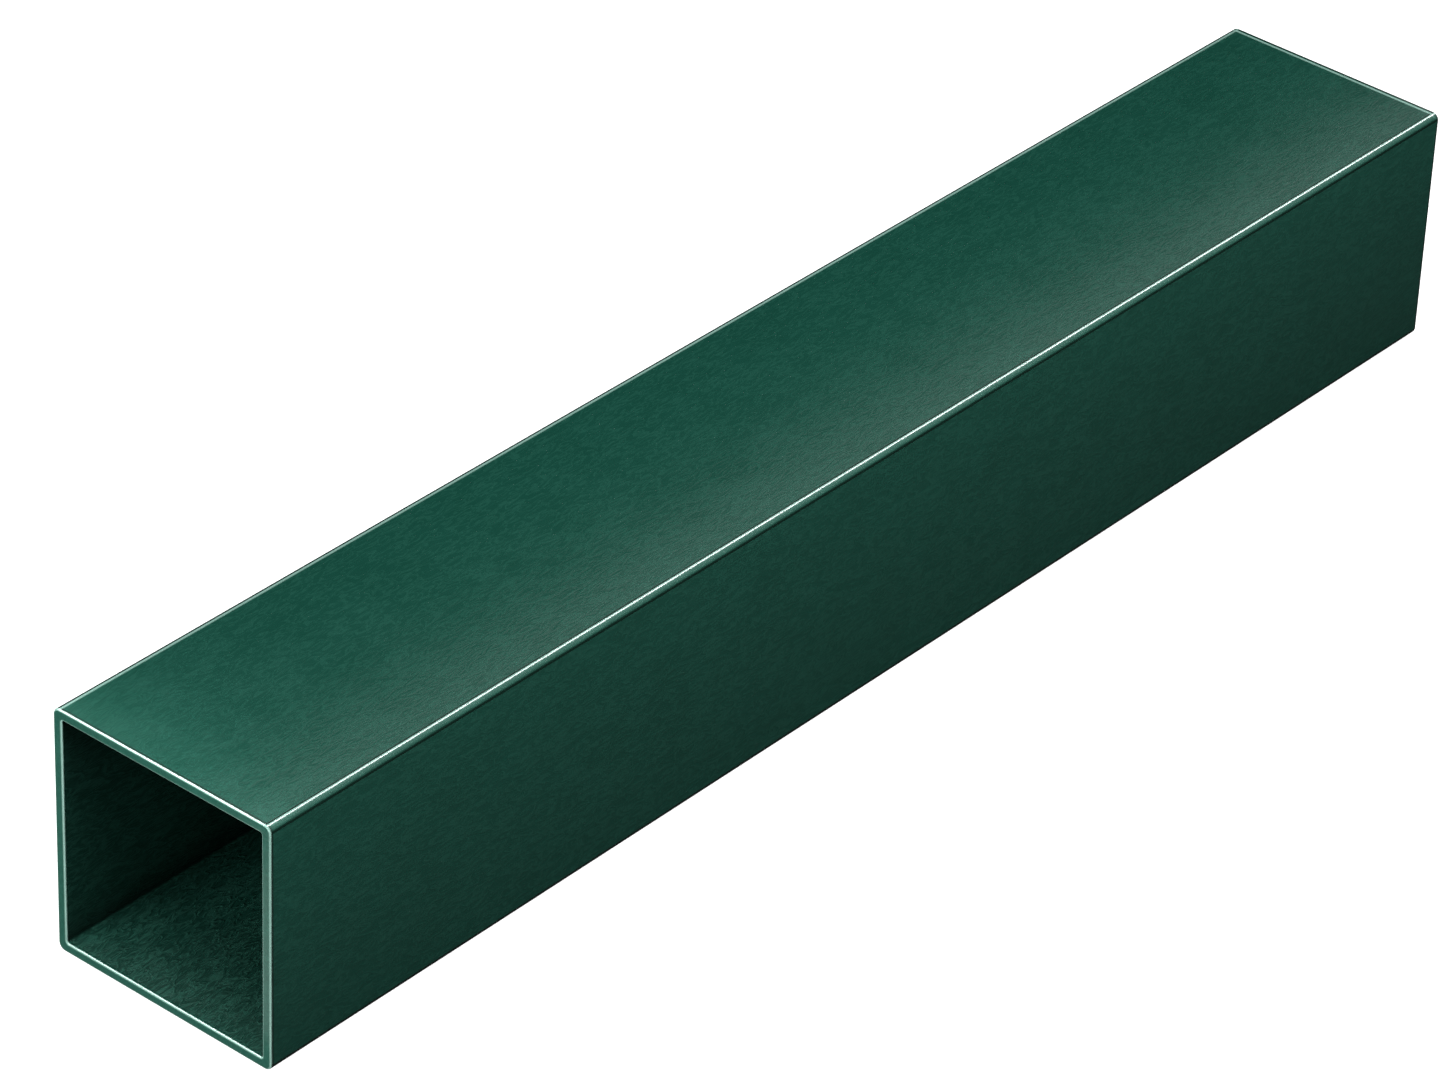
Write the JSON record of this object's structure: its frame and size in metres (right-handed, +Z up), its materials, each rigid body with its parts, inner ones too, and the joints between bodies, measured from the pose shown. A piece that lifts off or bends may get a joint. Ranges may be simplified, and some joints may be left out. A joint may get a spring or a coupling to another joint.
{
  "type": "aluminium post",
  "caption": "Hollow square aluminium post with rounded corners and open sawn ends, powder coated green: stock for fences, railings and light frames.",
  "frame": {"origin": "under the middle of the post, on the surface that it lies on", "axes": "+X along the post's length, +Z up out of its top side, +Y and -Y out of its two upright sides"},
  "size_m": [0.325, 0.05, 0.05],
  "materials": {
    "green_powder_coat": "satin"
  },
  "bodies": {
    "root": {"post": "green_powder_coat"}
  },
  "joints": []
}
